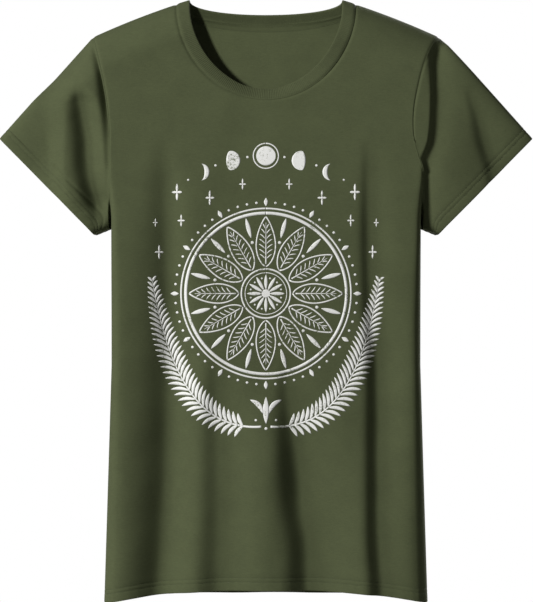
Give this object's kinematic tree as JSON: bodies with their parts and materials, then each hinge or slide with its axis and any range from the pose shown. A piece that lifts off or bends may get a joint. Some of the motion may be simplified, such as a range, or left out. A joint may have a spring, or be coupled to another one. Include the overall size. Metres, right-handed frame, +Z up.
{
  "type": "t-shirt",
  "caption": "Women's crew-neck T-shirt with short sleeves, ribbed collar, taped neck and turned hems, filled out as worn, with a plain chest print.",
  "frame": {"origin": "midway between the high points of the two shoulders, where the shirt hangs on its wearer", "axes": "+Z up, -Y out of the chest, +X towards the wearer's left arm"},
  "size_m": [0.5818, 0.133, 0.6593],
  "materials": {
    "jersey": "matt olive cotton jersey",
    "rib": "matt olive ribbed knit",
    "tape": "matt olive jersey tape",
    "thread": "olive polyester thread",
    "print": "white screen-print ink, lightly worn"
  },
  "bodies": {
    "root": {"front_panel": "jersey", "front_hem": "jersey", "back_panel": "jersey", "back_hem": "jersey", "neck_tape": "tape", "neck_seam": "jersey", "right_shoulder_seam": "jersey", "right_side_seam": "jersey", "left_shoulder_seam": "jersey", "left_side_seam": "jersey", "right_sleeve": "jersey", "right_sleeve_hem": "jersey", "right_sleeve_armhole_seam": "jersey", "left_sleeve": "jersey", "left_sleeve_hem": "jersey", "left_sleeve_armhole_seam": "jersey", "collar": "rib"}
  },
  "joints": []
}
